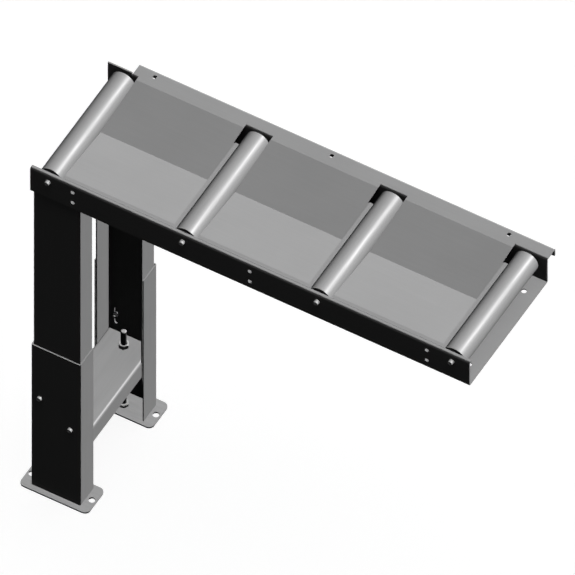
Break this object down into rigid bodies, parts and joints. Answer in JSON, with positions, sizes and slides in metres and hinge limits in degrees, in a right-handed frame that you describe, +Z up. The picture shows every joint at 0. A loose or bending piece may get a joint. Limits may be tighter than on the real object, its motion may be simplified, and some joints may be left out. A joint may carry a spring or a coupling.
{
  "type": "roller conveyor",
  "caption": "Short gravity roller conveyor: folded steel pan with free rollers and infill plates on a height-adjustable telescopic stand.",
  "frame": {"origin": "floor level, at the centre of the four anchor holes in the foot plates", "axes": "+X along the conveyor, from the stand towards the free end; +Z up; the plain front wall faces -Y and the flanged back wall +Y"},
  "size_m": [1.002, 0.3397, 0.9715],
  "materials": {
    "sheet_steel": "matt",
    "stand_steel": "matt",
    "roller_steel": "satin",
    "housing_steel": "satin",
    "bearing_steel": "polished",
    "zinc_fasteners": "zinc plated"
  },
  "bodies": {
    "stand_base": {"sleeve_front": "stand_steel", "sleeve_back": "stand_steel", "foot_plate_front": "stand_steel", "foot_plate_back": "stand_steel", "clamp_bolts": "zinc_fasteners", "clamp_washers": "zinc_fasteners", "clamp_nuts": "zinc_fasteners"},
    "lift_frame": {"pan": "sheet_steel", "head_plate": "sheet_steel", "head_bolts": "zinc_fasteners", "head_nuts": "zinc_fasteners", "inner_leg_front": "stand_steel", "inner_leg_back": "stand_steel", "crossbar": "stand_steel", "adjuster_nuts": "zinc_fasteners", "lock_nuts": "zinc_fasteners", "axle_bolts": "zinc_fasteners", "axle_washers": "zinc_fasteners", "axle_1": "bearing_steel", "axle_2": "bearing_steel", "axle_3": "bearing_steel", "axle_4": "bearing_steel", "bearing_inner_rings_1": "bearing_steel", "bearing_inner_rings_2": "bearing_steel", "bearing_inner_rings_3": "bearing_steel", "bearing_inner_rings_4": "bearing_steel", "infill_plate_1": "sheet_steel", "infill_plate_2": "sheet_steel", "infill_plate_3": "sheet_steel", "cross_angle_1": "sheet_steel", "cross_angle_2": "sheet_steel", "cross_angle_3": "sheet_steel"},
    "roller_1": {"roller_tube_1": "roller_steel", "end_housings_1": "housing_steel", "bearing_outer_rings_1": "bearing_steel", "bearing_balls_1": "bearing_steel"},
    "roller_2": {"roller_tube_2": "roller_steel", "end_housings_2": "housing_steel", "bearing_outer_rings_2": "bearing_steel", "bearing_balls_2": "bearing_steel"},
    "roller_3": {"roller_tube_3": "roller_steel", "end_housings_3": "housing_steel", "bearing_outer_rings_3": "bearing_steel", "bearing_balls_3": "bearing_steel"},
    "roller_4": {"roller_tube_4": "roller_steel", "end_housings_4": "housing_steel", "bearing_outer_rings_4": "bearing_steel", "bearing_balls_4": "bearing_steel"},
    "screw_front": {"adjuster_screw_front": "zinc_fasteners"},
    "screw_back": {"adjuster_screw_back": "zinc_fasteners"}
  },
  "joints": [
    {"name": "height_adjust", "type": "slide", "parent": "stand_base", "child": "lift_frame", "axis": [0, 0, 1], "range_m": [-0.015, 0.025]},
    {"name": "roller_spin_1", "type": "hinge", "parent": "lift_frame", "child": "roller_1", "pos_m": [-0.015, 0, 0.9465], "axis": [0, 1, 0], "continuous": true},
    {"name": "roller_spin_2", "type": "hinge", "parent": "lift_frame", "child": "roller_2", "pos_m": [0.285, 0, 0.9465], "axis": [0, 1, 0], "continuous": true},
    {"name": "roller_spin_3", "type": "hinge", "parent": "lift_frame", "child": "roller_3", "pos_m": [0.585, 0, 0.9465], "axis": [0, 1, 0], "continuous": true},
    {"name": "roller_spin_4", "type": "hinge", "parent": "lift_frame", "child": "roller_4", "pos_m": [0.885, 0, 0.9465], "axis": [0, 1, 0], "continuous": true},
    {"name": "screw_turn_front", "type": "hinge", "parent": "stand_base", "child": "screw_front", "pos_m": [0, -0.1145, 0.004], "axis": [0, 0, 1], "range_deg": [-3100, 5200]},
    {"name": "screw_turn_back", "type": "hinge", "parent": "stand_base", "child": "screw_back", "pos_m": [0, 0.1145, 0.004], "axis": [0, 0, 1], "range_deg": [-3100, 5200]}
  ],
  "couplings": [
    {"joint": "screw_turn_front", "follows": "height_adjust", "rad_per_m": 3590.4},
    {"joint": "screw_turn_back", "follows": "height_adjust", "rad_per_m": 3590.4}
  ]
}
